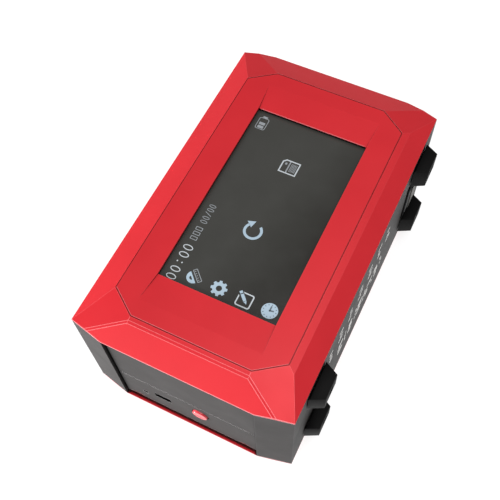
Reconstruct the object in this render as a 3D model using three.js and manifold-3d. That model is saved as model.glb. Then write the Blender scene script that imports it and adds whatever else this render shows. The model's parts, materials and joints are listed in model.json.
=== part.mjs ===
// Portable thermal inkjet date code printer, lying on its rear cover with the screen facing up.
// Millimetres, +Z out of the screen, +X towards the print side and its feet, +Y along the body
// towards the cartridge door. The origin is the centre of the rear cover's flat resting face.
import * as THREE from 'three';
import { mergeVertices } from 'three/addons/utils/BufferGeometryUtils.js';
import Module from 'manifold-3d';

const wasm = await Module();
wasm.setup();

// ---- Driving dimensions --------------------------------------------------------------------

const gap = 0.3; // clearance kept between neighbouring pieces
const thickness = 73; // rest face to front panel
const halfWidth = 50.3; // body, along X
const halfLength = 83.7; // body, along Y, at the middle of an end
const cornerY = 80.2; // where a long side turns into a corner post
const bendX = 34.6; // where a corner post meets the straight part of an end
const frontSeam = 67.3; // underside of the front cover's rim
const rearSeam = 2.6; // top of the rear cover's rim
const wall = 2.2; // side shells and front cover
const rearWall = 2;
const large = 400; // a cutter that passes everything

const groove = { width: 0.5, depth: 0.4 }; // fine line round the front panel
const panelHalf = { x: 39.1, y: 70, bendX: 27.1, bendY: 61.4 };
const facetDrop = 5.4; // from the panel down to the cover's outline
const bandWidth = { near: 2.6, print: 3.3 }; // gentle strip between groove and facet on two sides
const bandSlope = { near: 0.2, print: 0.3 };
const creaseFlat = 0.08; // how deep the near facet's edges are flattened
const rearFacetScale = 0.42; // the rear cover is shallower

const screen = { x0: -26.6, x1: 27.5, y0: -48.6, y1: 47.8 }; // opening over a 4.3 inch display
const lipThickness = 1; // front panel round the screen opening
const rampDepth = 0.6;
const rampEnd = { x: 28, y: 62 };

const shellBottom = rearSeam + gap;
const shellTop = frontSeam - gap;
const endOpening = 34.5; // half width between the corner posts
const endRecess = 1.4; // end plates sit this far inside the ends
const plateThickness = 2;
const plateOuter = halfLength - endRecess;
const plateInner = plateOuter - plateThickness;
const plateHalfWidth = endOpening - 0.6;
const plateBottom = 6.2;
const plateSeam = 31;
const sillTop = 4.9; // the rear cover's sill below the end plates, across an open gap
const sillRecess = 0.7; // the sill sits behind the plates' outer faces
const plateTop = shellTop - 0.1;

const column = { x: 43.5, y: 75, r: 3.2, bore: 1.75 };
const bossBottom = 60; // the front cover's screw bosses reach down to here

const hinge = { x: -32.3, y: 80.9, bore: 1, barrel: 1.7, sillRoom: 2.8 };
const hingePin = { r: 0.8, bottom: 5.6, length: 60.7 };
const button = { x: 6.3, z: 22, r: 3.75, proud: 0.9, clearance: 0.45 };
const usb = { x: -13, z: 19.5, width: 7.7, height: 3.9, shell: 0.4, tongue: 4.8 };
const led = { x: -22.5, z: 16, r: 1.1, recess: 1.1 };

const foot = { y: 59.2, base: 8.75, tip: 5.75, height: 6.5, thickness: 12, pilot: 1.2 };
const footBottoms = [9.5, 51.5]; // the lower foot and the upper foot of each pair
const cartridge = { y0: 46.7, y1: 71.3, z0: 7, z1: 61.5, back: -12, front: 47, face: 51.2 };
const nozzleWindow = { y0: 49.2, y1: 69.2, z0: 23.6, z1: 49.4 };

const glassTop = 70.6;
const displayHalf = { x: 33.3, y: 52.6 };
const boardBottom = 44;
const chassisTop = 30.5;

// ---- Materials -----------------------------------------------------------------------------

const material = (color, roughness, metalness) =>
  new THREE.MeshStandardMaterial({ color, roughness, metalness });
const redPaint = material(0xd23238, 0.42, 0.25);
const greyPaint = material(0x6a6869, 0.5, 0.3);
const blackRubber = material(0x161616, 0.8, 0);
const blackPlastic = material(0x222326, 0.55, 0);
const screenGlass = material(0x33343a, 0.15, 0);
const steel = material(0xb4b6b8, 0.35, 0.9);
const aluminium = material(0xbfc2c6, 0.45, 0.85);
const circuitGreen = material(0x1f5a3a, 0.6, 0);
const cellWrap = material(0x2b62a8, 0.5, 0);
const foam = material(0x2c2c2e, 0.95, 0);
const flexAmber = material(0xb97a2a, 0.5, 0);
const milkyPlastic = material(0xe6ebe4, 0.4, 0);

// ---- Solid helpers -------------------------------------------------------------------------

function solid(geometry) {
  geometry.deleteAttribute('normal');
  geometry.deleteAttribute('uv');
  const merged = mergeVertices(geometry);
  return new wasm.Manifold(new wasm.Mesh({
    numProp: 3,
    vertProperties: new Float32Array(merged.attributes.position.array),
    triVerts: new Uint32Array(merged.index.array),
  }));
}

function block(x0, x1, y0, y1, z0, z1) {
  const geometry = new THREE.BoxGeometry(x1 - x0, y1 - y0, z1 - z0);
  geometry.translate((x0 + x1) / 2, (y0 + y1) / 2, (z0 + z1) / 2);
  return solid(geometry);
}

function shapeOf(points) {
  return new THREE.Shape(points.map(([u, v]) => new THREE.Vector2(u, v)));
}

// An outline in the XY plane, raised from z0 to z1.
function prism(points, z0, z1) {
  const geometry = new THREE.ExtrudeGeometry(shapeOf(points), { depth: z1 - z0, bevelEnabled: false });
  geometry.translate(0, 0, z0);
  return solid(geometry);
}

// An outline given as [x, z], carried along Y from y0 to y1.
function prismAlongY(points, y0, y1) {
  const geometry = new THREE.ExtrudeGeometry(shapeOf(points), { depth: y1 - y0, bevelEnabled: false });
  geometry.rotateX(Math.PI / 2);
  geometry.translate(0, y1, 0);
  return solid(geometry);
}

// An outline given as [y, z], carried along X from x0 to x1.
function prismAlongX(points, x0, x1) {
  const geometry = new THREE.ExtrudeGeometry(shapeOf(points), { depth: x1 - x0, bevelEnabled: false });
  geometry.rotateY(Math.PI / 2);
  geometry.rotateX(Math.PI / 2);
  geometry.translate(x0, 0, 0);
  return solid(geometry);
}

// A turned piece: [radius, distance] pairs from axis to axis, stood at a point along an axis.
function turned(profile, point, axis, segments = 16) {
  const geometry = new THREE.LatheGeometry(profile.map(([r, h]) => new THREE.Vector2(r, h)), segments);
  const turn = new THREE.Quaternion().setFromUnitVectors(new THREE.Vector3(0, 1, 0), axis);
  geometry.applyQuaternion(turn);
  geometry.translate(...point);
  return solid(geometry);
}

function rod(r, point, axis, length, segments = 16) {
  return turned([[0, 0], [r, 0], [r, length], [0, length]], point, axis, segments);
}

const X = new THREE.Vector3(1, 0, 0);
const Y = new THREE.Vector3(0, 1, 0);
const Z = new THREE.Vector3(0, 0, 1);

function union(solids) {
  return solids.reduce((joined, next) => joined.add(next));
}

function subtractAll(body, cutters) {
  return cutters.reduce((left, cutter) => left.subtract(cutter), body);
}

// Everything above a plane that passes through a point.
function spaceAbove(normal, point) {
  const geometry = new THREE.BoxGeometry(large, large, large);
  geometry.translate(0, 0, large / 2);
  geometry.applyQuaternion(new THREE.Quaternion().setFromUnitVectors(Z, normal.clone().normalize()));
  geometry.translate(...point);
  return solid(geometry);
}

const group = new THREE.Group();
group.name = 'date_code_inkjet_printer';

function addPiece(name, body, finish) {
  const { vertProperties, triVerts } = body.getMesh();
  const geometry = new THREE.BufferGeometry();
  geometry.setAttribute('position', new THREE.BufferAttribute(new Float32Array(vertProperties), 3));
  geometry.setIndex(new THREE.BufferAttribute(new Uint32Array(triVerts), 1));
  geometry.computeVertexNormals();
  const mesh = new THREE.Mesh(geometry, finish);
  mesh.name = name;
  group.add(mesh);
}

// ---- Outlines ------------------------------------------------------------------------------

const mirrored = (points) => [
  ...points,
  ...points.map(([x, y]) => [-x, y]).reverse(),
  ...points.map(([x, y]) => [-x, -y]),
  ...points.map(([x, y]) => [x, -y]).reverse(),
];

const bodyOutline = mirrored([[halfWidth, cornerY], [bendX, halfLength]]);
const panelOutline = mirrored([[panelHalf.x, panelHalf.bendY], [panelHalf.bendX, panelHalf.y]]);

// A convex anticlockwise outline with every edge moved inwards.
function inset(points, distance) {
  const edges = points.map((start, i) => {
    const end = points[(i + 1) % points.length];
    const along = new THREE.Vector2(end[0] - start[0], end[1] - start[1]).normalize();
    const inwards = new THREE.Vector2(-along.y, along.x);
    return { normal: inwards, reach: inwards.x * start[0] + inwards.y * start[1] + distance };
  });
  return edges.map((edge, i) => {
    const before = edges[(i + edges.length - 1) % edges.length];
    const cross = before.normal.x * edge.normal.y - before.normal.y * edge.normal.x;
    return [
      (before.reach * edge.normal.y - edge.reach * before.normal.y) / cross,
      (edge.reach * before.normal.x - before.reach * edge.normal.x) / cross,
    ];
  });
}

const corners = [[1, 1], [-1, 1], [-1, -1], [1, -1]];

// ---- Covers --------------------------------------------------------------------------------

// A sloping plane is z = -(gx x + gy y - reach) below the flat face that it falls away from.
function fallingPlane(gx, gy, point, drop) {
  return { gx, gy, reach: gx * point[0] + gy * point[1] - drop };
}

function cutAbove(plane, z, depth = 0) {
  const steep = plane.gx ** 2 + plane.gy ** 2;
  const foot = [plane.gx * plane.reach / steep, plane.gy * plane.reach / steep, z - depth];
  return spaceAbove(new THREE.Vector3(plane.gx, plane.gy, 1), foot);
}

const cornerAcross = new THREE.Vector2(
  panelHalf.y - panelHalf.bendY, panelHalf.x - panelHalf.bendX,
).normalize();
const cornerRun = cornerAcross.x * (halfWidth - panelHalf.x) + cornerAcross.y * (cornerY - panelHalf.bendY);
const slope = {
  side: facetDrop / (halfWidth - panelHalf.x),
  end: facetDrop / (halfLength - panelHalf.y),
  corner: facetDrop / cornerRun,
};

// Facets that start at the groove: both long sides, both ends and the four corners.
function basicFacets() {
  const sides = [1, -1].map((s) => fallingPlane(s * slope.side, 0, [s * panelHalf.x, 0], 0));
  const ends = [1, -1].map((s) => fallingPlane(0, s * slope.end, [0, s * panelHalf.y], 0));
  const cornerPlanes = corners.map(([sx, sy]) => fallingPlane(
    sx * cornerAcross.x * slope.corner, sy * cornerAcross.y * slope.corner,
    [sx * panelHalf.x, sy * panelHalf.bendY], 0,
  ));
  return { sides, ends, cornerPlanes };
}

// The front cover: as above, but a gentle band leads to the facet on the near end and the print side.
function frontFacetCutters() {
  const { sides, ends, cornerPlanes } = basicFacets();
  const nearBand = fallingPlane(0, -bandSlope.near, [0, -panelHalf.y], 0);
  const nearEdge = -panelHalf.y - bandWidth.near;
  const nearDrop = bandWidth.near * bandSlope.near;
  const nearSlope = (facetDrop - nearDrop) / (halfLength + nearEdge);
  const nearFacet = fallingPlane(0, -nearSlope, [0, nearEdge], nearDrop);
  const printBand = fallingPlane(bandSlope.print, 0, [panelHalf.x, 0], 0);
  const printEdge = panelHalf.x + bandWidth.print;
  const printDrop = bandWidth.print * bandSlope.print;
  const printSlope = (facetDrop - printDrop) / (halfWidth - printEdge);
  const printFacet = fallingPlane(printSlope, 0, [printEdge, 0], printDrop);
  const planes = [sides[1], ends[0], ...cornerPlanes, nearBand, nearFacet, printBand, printFacet];
  const nearCorners = cornerPlanes.filter((plane) => plane.gy < 0);
  const flattened = [nearBand, ...nearCorners].map((plane) => ({
    gx: (plane.gx + nearFacet.gx) / 2,
    gy: (plane.gy + nearFacet.gy) / 2,
    reach: (plane.reach + nearFacet.reach) / 2,
  }));
  return [
    ...planes.map((plane) => cutAbove(plane, thickness)),
    ...flattened.map((plane) => cutAbove(plane, thickness, creaseFlat)),
  ];
}

// The same facets for a cover whose outer face is at height z, scaled for a shallower cover.
function plainFacetCutters(z, scale) {
  const { sides, ends, cornerPlanes } = basicFacets();
  return [...sides, ...ends, ...cornerPlanes].map(({ gx, gy, reach }) => (
    cutAbove({ gx: gx * scale, gy: gy * scale, reach: reach * scale }, z)
  ));
}

// A slab with faceted upper edges.
function facetedSlab(points, bottom, top, scale) {
  return subtractAll(prism(points, bottom, top), plainFacetCutters(top, scale));
}

// The shallow slope that leads from the panel down to one short side of the screen opening.
function screenRamp(side) {
  const edge = side > 0 ? screen.y1 : screen.y0;
  const end = side * rampEnd.y;
  const outline = [
    [screen.x0, edge - side], [screen.x1, edge - side], [screen.x1, edge],
    [rampEnd.x, end], [-rampEnd.x, end], [screen.x0, edge],
  ];
  const grade = rampDepth / Math.abs(end - edge);
  const above = spaceAbove(new THREE.Vector3(0, -side * grade, 1), [0, end, thickness]);
  return prism(side > 0 ? outline : outline.reverse(), thickness - 2, thickness + 2).intersect(above);
}

const bracketScrew = { x: 38, y: 44, boss: 2.4, pilot: 1.2, bossBottom: 65.3, pilotDepth: 4.5 };
const casePilotDepth = 6.5;

// The deep side of the front cover: bosses for the case screws and for the display bracket.
function frontBosses() {
  const skin = thickness - wall;
  return corners.flatMap(([sx, sy]) => [
    rod(column.r, [sx * column.x, sy * column.y, bossBottom], Z, frontSeam + 1 - bossBottom),
    rod(
      bracketScrew.boss, [sx * bracketScrew.x, sy * bracketScrew.y, bracketScrew.bossBottom], Z,
      skin + 0.5 - bracketScrew.bossBottom,
    ),
  ]);
}

function frontPilotHoles() {
  return corners.flatMap(([sx, sy]) => [
    rod(column.bore, [sx * column.x, sy * column.y, bossBottom - 1], Z, casePilotDepth + 1),
    rod(
      bracketScrew.pilot, [sx * bracketScrew.x, sy * bracketScrew.y, bracketScrew.bossBottom - 1], Z,
      bracketScrew.pilotDepth + 1,
    ),
  ]);
}

function panelGroove() {
  return prism(inset(panelOutline, -groove.width / 2), thickness - groove.depth, thickness + 1)
    .subtract(prism(inset(panelOutline, groove.width / 2), 0, large));
}

function frontCover() {
  const lip = thickness - lipThickness;
  const roomX = displayHalf.x + gap;
  const roomY = displayHalf.y + gap;
  const shell = subtractAll(prism(bodyOutline, frontSeam, thickness), [
    ...frontFacetCutters(),
    panelGroove(),
    facetedSlab(inset(bodyOutline, wall), frontSeam - 1, thickness - wall, 1),
  ]);
  return subtractAll(union([shell, ...frontBosses()]), [
    block(screen.x0, screen.x1, screen.y0, screen.y1, frontSeam, thickness + 1),
    block(-roomX, roomX, -roomY, roomY, frontSeam, lip),
    screenRamp(1),
    screenRamp(-1),
    ...frontPilotHoles(),
  ]);
}

// A case screw's head sinks into a raised pad on the rear cover.
const screwSeat = { bottom: 2.7, depth: 4.9, top: 6.2, r: 4.2, headRoom: 3.1 };
const rib = { y: [-22, 34], halfLength: 44, width: 1.2, bottom: 1.5, top: 2.9 };
const spine = { x: 26, y0: -68, y1: 38 };

// Ribs stiffen the floor on each side of the battery, and a spine joins them.
function floorRibs() {
  return [
    ...rib.y.map((y) => block(-rib.halfLength, rib.halfLength, y, y + rib.width, rib.bottom, rib.top)),
    block(spine.x, spine.x + rib.width, spine.y0, spine.y1, rib.bottom, rib.top),
  ];
}

function rearCover() {
  const faceIn = plateOuter - sillRecess;
  const outside = facetedSlab(bodyOutline, -rearSeam, 0, rearFacetScale);
  const hollow = facetedSlab(inset(bodyOutline, rearWall), -rearSeam - 1, -rearWall, rearFacetScale);
  const nearSill = block(-plateHalfWidth, plateHalfWidth, -faceIn, -plateInner, rearWall, sillTop);
  const doorSill = block(hinge.x + hinge.sillRoom, plateHalfWidth, plateInner, faceIn, rearWall, sillTop);
  const pads = corners.map(([sx, sy]) => rod(
    screwSeat.r, [sx * column.x, sy * column.y, rearWall], Z, screwSeat.top - rearWall,
  ));
  const shell = outside.subtract(hollow).mirror([0, 0, 1]);
  const screwHoles = corners.flatMap(([sx, sy]) => [
    rod(column.bore, [sx * column.x, sy * column.y, -1], Z, screwSeat.top + 2),
    rod(screwSeat.headRoom, [sx * column.x, sy * column.y, -1], Z, screwSeat.depth + 1),
  ]);
  return subtractAll(union([shell, nearSill, doorSill, ...pads, ...floorRibs()]), screwHoles);
}

// ---- Side shells ---------------------------------------------------------------------------

const flange = { y0: 76, y1: 82.8, thickness: 1.8 }; // edge of a corner post, seen beside the plates
const plateStop = { y: 78.2, reach: 1.8, fromBottom: 6, fromTop: 5 }; // the end plates rest on it
const postRib = { y0: 74.2, y1: 75.8 };
const ledge = { x: 45.3, y0: -69, y1: 40, z0: 26.7, z1: 28.7 }; // carries the chassis plate

// One corner post's flange, plate stop, rib and screw column; s is the end it stands at.
function cornerPost(s) {
  const columnBottom = screwSeat.top + gap;
  const columnTop = bossBottom - gap;
  const span = (y0, y1) => [s * y0, s * y1].sort((a, b) => a - b);
  return [
    block(endOpening, endOpening + flange.thickness, ...span(flange.y0, flange.y1), shellBottom, shellTop),
    block(
      endOpening - plateStop.reach, endOpening + 0.5, ...span(plateStop.y, plateInner - gap),
      shellBottom + plateStop.fromBottom, shellTop - plateStop.fromTop,
    ),
    block(column.x, halfWidth - 1, ...span(postRib.y0, postRib.y1), columnBottom, columnTop),
    rod(column.r, [column.x, s * column.y, columnBottom], Z, columnTop - columnBottom),
  ];
}

// The print side's shell; the other side is its mirror image before the cuts that differ.
function plainShell() {
  const ring = prism(bodyOutline, shellBottom, shellTop)
    .subtract(prism(inset(bodyOutline, wall), 0, thickness))
    .intersect(block(endOpening, large, -large, large, 0, thickness));
  const shelf = block(ledge.x, halfWidth - 1, ledge.y0, ledge.y1, ledge.z0, ledge.z1);
  const bores = [1, -1].map((s) => rod(column.bore, [column.x, s * column.y, 0], Z, thickness));
  return subtractAll(union([ring, ...cornerPost(1), ...cornerPost(-1), shelf]), bores);
}

const feet = [-1, 1].flatMap((s) => footBottoms.map((z) => ({ y: s * foot.y, z })));

function printSideShell() {
  const w = nozzleWindow;
  return subtractAll(plainShell(), [
    block(halfWidth - wall - 1, large, w.y0, w.y1, w.z0, w.z1),
    ...feet.map(({ y, z }) => rod(foot.pilot, [46, y, z + foot.thickness / 2], X, 10)),
  ]);
}

// Two lugs carry the ends of the door's hinge pin.
function hingeSideShell() {
  const lowLug = [4.5, 9.6];
  const highLug = [62.3, shellTop];
  const lugs = [lowLug, highLug].flatMap(([z0, z1]) => [
    rod(hinge.barrel, [hinge.x, hinge.y, z0], Z, z1 - z0, 24),
    block(-endOpening - 0.5, hinge.x, hinge.y - 1.5, hinge.y, z0, z1),
  ]);
  const barrelRoom = rod(hinge.barrel + 2 * gap, [hinge.x, hinge.y, 0], Z, thickness);
  const shell = plainShell().mirror([1, 0, 0]).subtract(barrelRoom);
  return union([shell, ...lugs]).subtract(rod(hinge.bore, [hinge.x, hinge.y, hingePin.bottom - 0.1], Z, 61));
}

// ---- End plates and cartridge door ---------------------------------------------------------

const plateTab = { x: 28, halfWidth: 2.5, reach: 2.4, height: 3.6, margin: 0.4, notchDepth: 1.5 };

// A folded plate: its tabs are bent inwards, and each leaves a relief notch in the plate's edge.
function endPlate(z0, z1, edgeZ, notchHeight) {
  const inwards = edgeZ === z1 ? -1 : 1;
  const edgeSpan = (near, far) => [edgeZ + inwards * near, edgeZ + inwards * far].sort((a, b) => a - b);
  const plate = block(-plateHalfWidth, plateHalfWidth, -plateOuter, -plateInner, z0, z1);
  const atTab = (y0, y1, span) => [-1, 1].map((s) => block(
    s * plateTab.x - plateTab.halfWidth, s * plateTab.x + plateTab.halfWidth, y0, y1, ...span,
  ));
  const tabs = atTab(
    -plateInner - 0.5, -plateInner + plateTab.reach,
    edgeSpan(plateTab.margin, plateTab.margin + plateTab.height),
  );
  const notches = atTab(-plateOuter - 1, -plateOuter + plateTab.notchDepth, edgeSpan(-1, notchHeight));
  return subtractAll(union([plate, ...tabs]), notches);
}

function upperEndPlate() {
  return endPlate(plateSeam + gap / 2, plateTop, plateTop, 3.4);
}

function lowerEndPlate() {
  const openingHalf = { x: usb.width / 2 + gap, z: usb.height / 2 + gap };
  return subtractAll(endPlate(plateBottom, plateSeam - gap / 2, plateBottom, 0.9), [
    rod(button.r + button.clearance, [button.x, -plateOuter - 1, button.z], Y, 4, 24),
    rod(led.r + 0.15, [led.x, -plateOuter - 1, led.z], Y, 4, 16),
    block(
      usb.x - openingHalf.x, usb.x + openingHalf.x, -plateOuter - 1, -plateInner + 1,
      usb.z - openingHalf.z, usb.z + openingHalf.z,
    ),
  ]);
}

const doorBarrel = { bottom: 9.9, top: 62 };
const fingerScoop = { r: 9, fromEdge: 10, outside: 7.8, bottom: 28, height: 18 };

function cartridgeDoor() {
  const leaf = block(hinge.x + 2.1, plateHalfWidth - 0.2, plateInner, plateOuter, plateBottom, plateTop);
  const barrel = rod(
    hinge.barrel, [hinge.x, hinge.y, doorBarrel.bottom], Z, doorBarrel.top - doorBarrel.bottom,
  );
  const web = block(hinge.x, hinge.x + 2.5, plateInner, plateOuter - 0.3, doorBarrel.bottom, doorBarrel.top);
  const scoopX = plateHalfWidth - fingerScoop.fromEdge;
  const scoop = rod(
    fingerScoop.r, [scoopX, plateOuter + fingerScoop.outside, fingerScoop.bottom], Z, fingerScoop.height, 40,
  );
  return union([leaf, barrel, web]).subtract(scoop)
    .subtract(rod(hinge.bore, [hinge.x, hinge.y, 0], Z, thickness));
}

// A bent strip that presses the cartridge against its contacts while the door is shut.
function leafSpring() {
  const strip = { thickness: 0.5, z0: 26, z1: 44, x0: -4, bowStart: 2, bowEnd: 26, x1: 32 };
  const seat = plateInner - gap;
  const crown = seat - 15.6; // control point of the bow, twice as deep as the bow itself
  const bow = new THREE.QuadraticBezierCurve(
    new THREE.Vector2(strip.bowStart, seat),
    new THREE.Vector2((strip.bowStart + strip.bowEnd) / 2, crown),
    new THREE.Vector2(strip.bowEnd, seat),
  ).getPoints(12);
  const path = [new THREE.Vector2(strip.x0, seat), ...bow, new THREE.Vector2(strip.x1, seat)];
  const inner = path.map((p) => [p.x, p.y - strip.thickness]);
  const outer = path.map((p) => [p.x, p.y]).reverse();
  return prism([...inner, ...outer], strip.z0, strip.z1);
}

const magnet = { x0: 23.5, x1: 31.5, thickness: 2.9, z0: 50, z1: 60 };

function doorMagnet() {
  const back = plateInner - 0.1;
  return block(magnet.x0, magnet.x1, back - magnet.thickness, back, magnet.z0, magnet.z1);
}

function magnetKeeper() {
  const face = plateInner - 3.4;
  return block(magnet.x0 + 0.5, plateHalfWidth, face - 1.2, face, magnet.z0 + 1, magnet.z1 - 1);
}

// ---- Display -------------------------------------------------------------------------------

const lcd = { x: 33, y: 52.5, bottom: 65.3, top: 69.1 };
const bracket = { x: 34.5, y: 50, earX: 41, earHalf: 4, z0: 63.7, z1: 65, hole: 1.2 };

// The black frame between the front panel's lip and the glass, seen all round the picture.
function displayGasket() {
  const bottom = glassTop + 0.2;
  const top = thickness - lipThickness - 0.2;
  const reveal = 0.15;
  return block(-displayHalf.x, displayHalf.x, -displayHalf.y, displayHalf.y, bottom, top).subtract(block(
    screen.x0 - reveal, screen.x1 + reveal, screen.y0 - reveal, screen.y1 + reveal, bottom - 1, top + 1,
  ));
}

function touchGlass() {
  const glass = 1.2;
  return block(-displayHalf.x, displayHalf.x, -displayHalf.y, displayHalf.y, glassTop - glass, glassTop);
}

// A pressed plate behind the display, lightened by two windows, with ears that reach the screws.
function displayBracket() {
  const { x, y, earX, earHalf, z0, z1 } = bracket;
  const ears = [1, -1].map((s) => block(
    -earX, earX, s * bracketScrew.y - earHalf, s * bracketScrew.y + earHalf, z0, z1,
  ));
  const windows = [1, -1].map((s) => block(-26, 26, s * 20 - 14, s * 20 + 14, z0 - 1, z1 + 1));
  const holes = corners.map(([sx, sy]) => rod(
    bracket.hole, [sx * bracketScrew.x, sy * bracketScrew.y, z0 - 1], Z, z1 - z0 + 2,
  ));
  return subtractAll(union([block(-x, x, -y, y, z0, z1), ...ears]), [...windows, ...holes]);
}

// Down from the display's edge and back under it to the main board.
function displayFlex() {
  const film = 0.4;
  const top = 67.4;
  const bottom = 47.9;
  const edge = -52.9;
  const outside = -54.9;
  const landing = -49.4;
  return prismAlongX([
    [edge, top], [outside, top], [outside, bottom], [landing, bottom],
    [landing, bottom + film], [outside + film, bottom + film], [outside + film, top - film],
    [edge, top - film],
  ], -10, 10);
}

// ---- Screws --------------------------------------------------------------------------------

// A pan head with a cross recess; the shank points along the axis, away from the head.
function screw({ headR, headH, shankR, length }, point, axis) {
  const end = headH + length;
  const body = turned([
    [0, 0], [headR * 0.8, 0], [headR, headH * 0.35], [headR, headH], [shankR, headH],
    [shankR, end - shankR * 0.6], [shankR * 0.4, end], [0, end],
  ], point, axis, 12);
  const turn = new THREE.Quaternion().setFromUnitVectors(Y, axis);
  const arm = (wide, tall) => {
    const geometry = new THREE.BoxGeometry(wide, headH, tall);
    geometry.applyQuaternion(turn);
    geometry.translate(...point);
    return solid(geometry);
  };
  const slotLength = headR * 1.1;
  const slotWidth = headR * 0.28;
  return subtractAll(body, [arm(slotLength, slotWidth), arm(slotWidth, slotLength)]);
}

// ---- Electronics ---------------------------------------------------------------------------

const standoff = { x: 38, y: [-62, 32], r: 2.9, bore: 1.3 };
const standoffPoints = [-1, 1].flatMap((s) => standoff.y.map((y) => [s * standoff.x, y]));
const board = { x: 44, y0: -70, y1: 38, top: boardBottom + 1.6 };

// Pressed plate that carries the main board above the battery.
function chassisPlate() {
  const edge = { x: 47.4, y0: -69, y1: 40, bottom: 29 };
  const plate = block(-edge.x, edge.x, edge.y0, edge.y1, edge.bottom, chassisTop);
  const stiffeners = [-20, 20].map((x) => block(x - 0.8, x + 0.8, -60, 34, 26.2, edge.bottom + 0.2));
  const holes = standoffPoints.map(([x, y]) => rod(1.1, [x, y, edge.bottom - 4], Z, 10));
  const cableHole = block(-10, 10, -66, -60, edge.bottom - 5, chassisTop + 5);
  return subtractAll(union([plate, ...stiffeners]), [...holes, cableHole]);
}

function hexStandoff(x, y) {
  return rod(standoff.r, [x, y, chassisTop + gap], Z, boardBottom - chassisTop - 2 * gap, 6)
    .subtract(rod(standoff.bore, [x, y, 0], Z, thickness, 12));
}

// A component on the main board, centred at a point and standing to a height.
function onBoard(x, y, width, length, height) {
  const sunk = 0.5;
  return block(
    x - width / 2, x + width / 2, y - length / 2, y + length / 2, board.top - sunk, board.top + height,
  );
}

function mainBoard() {
  const slab = block(-board.x, board.x, board.y0, board.y1, boardBottom, board.top);
  const processor = onBoard(0, 0, 18, 18, 1.4);
  const memory = onBoard(-24, -1, 12, 10, 1.1);
  const inductor = onBoard(27, -13, 14, 14, 6);
  const displayConnector = onBoard(0, -46.5, 24, 5, 2.4);
  const printheadConnector = onBoard(7, 33.5, 30, 5, 4);
  const batteryConnector = onBoard(-35, -45, 10, 14, 5);
  const capacitors = [-24, -18, 22, 28].map((x) => rod(2.5, [x, 18, board.top - 0.5], Z, 8.5));
  const holes = standoffPoints.map(([x, y]) => rod(standoff.bore, [x, y, boardBottom - 4], Z, 10));
  return subtractAll(union([
    slab, processor, memory, inductor, displayConnector, printheadConnector, batteryConnector, ...capacitors,
  ]), holes);
}

function buzzer() {
  const can = { r: 6, height: 5.6, mouth: 1.2, depth: 1.2 };
  return turned([
    [0, 0], [can.r, 0], [can.r, can.height - 0.6], [can.r - 0.6, can.height],
    [can.mouth, can.height], [can.mouth, can.height - can.depth], [0, can.height - can.depth],
  ], [24, -48, board.top + gap], Z, 24);
}

const input = { outer: -75.6, inner: -74, x0: -30, x1: 16, z0: 9.5, z1: 29 };

// Small upright board behind the lower end plate, for the light, the USB port and the button.
function inputBoard() {
  return block(input.x0, input.x1, input.outer, input.inner, input.z0, input.z1);
}

function usbPort() {
  const x = usb.width / 2;
  const z = usb.height / 2;
  const back = input.outer - gap;
  const shell = block(usb.x - x, usb.x + x, -plateOuter + 0.3, back, usb.z - z, usb.z + z);
  const mouth = block(
    usb.x - x + usb.shell, usb.x + x - usb.shell, -plateOuter - 1, back - 1.1,
    usb.z - z + usb.shell, usb.z + z - usb.shell,
  );
  const tongue = block(
    usb.x - usb.tongue / 2, usb.x + usb.tongue / 2, -plateOuter + 2.6, back - 0.9, usb.z - 0.45, usb.z + 0.45,
  );
  return shell.subtract(mouth).add(tongue);
}

function tactSwitch() {
  const half = 3;
  const back = input.outer - gap;
  const body = block(button.x - half, button.x + half, -78, back, button.z - half, button.z + half);
  return body.subtract(rod(2, [button.x, -80, button.z], Y, 3.4));
}

// A dished cap, a flange that keeps it behind the plate and a stem that meets the switch.
function powerButton() {
  const flangeAt = 3.2;
  const flangeEnd = 3.9;
  const stem = { r: 1.6, end: 4.9 };
  return turned([
    [0, 0.35], [button.r * 0.6, 0.2], [button.r - 0.5, 0], [button.r - 0.15, 0.15], [button.r, 0.5],
    [button.r, flangeAt], [button.r + 1.2, flangeAt], [button.r + 1.2, flangeEnd],
    [stem.r, flangeEnd], [stem.r, stem.end], [0, stem.end],
  ], [button.x, -plateOuter - button.proud, button.z], Y, 32);
}

// A light guide: a thin nose in the plate's hole and a wider foot against the board.
function statusLight() {
  const nose = { r: led.r - 0.1, length: 4.1 };
  const seat = { r: 2, length: 5 };
  return turned([
    [0, 0], [nose.r * 0.6, 0.1], [nose.r, 0.6], [nose.r, nose.length],
    [seat.r, nose.length], [seat.r, seat.length], [0, seat.length],
  ], [led.x, -plateOuter + led.recess, led.z], Y, 12);
}

// ---- Battery -------------------------------------------------------------------------------

const cell = { r: 9.1, length: 65, y: -58, z: 15, pitch: 19, x: -30 };
const cellAt = (index) => cell.x + index * cell.pitch;

// One lithium cell: a wrapped can, a crimped neck and the positive cap.
function batteryCell(index) {
  const { r, length } = cell;
  const shoulder = length - 2.6;
  const top = length - 1;
  return turned([
    [0, 0], [r - 1, 0], [r, 0.6], [r, shoulder], [r - 0.6, shoulder + 0.8], [r - 0.6, top],
    [3, top], [3, length], [0, length],
  ], [cellAt(index), cell.y, cell.z], Y, 24);
}

function batteryTray() {
  const rim = 2;
  const end = 3;
  const bottom = 3.2;
  const floorHeight = 9;
  const x0 = cellAt(0) - cell.r - rim;
  const x1 = cellAt(2) + cell.r + rim;
  const y0 = cell.y - end;
  const y1 = cell.y + cell.length + end;
  const tray = block(x0, x1, y0, y1, bottom, cell.z + 1.8);
  const beds = [0, 1, 2].map((i) => rod(
    cell.r + gap, [cellAt(i), cell.y - 1, cell.z], Y, cell.length + 2, 24,
  ));
  const open = block(x0 + 12, x1 - 12, y0 + rim, y1 - rim, floorHeight, cell.z + 5);
  return subtractAll(tray, [...beds, open]);
}

// ---- Cartridge bay -------------------------------------------------------------------------

const snout = { y0: 51.7, y1: 66.7, z0: 27, z1: 46 };

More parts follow.
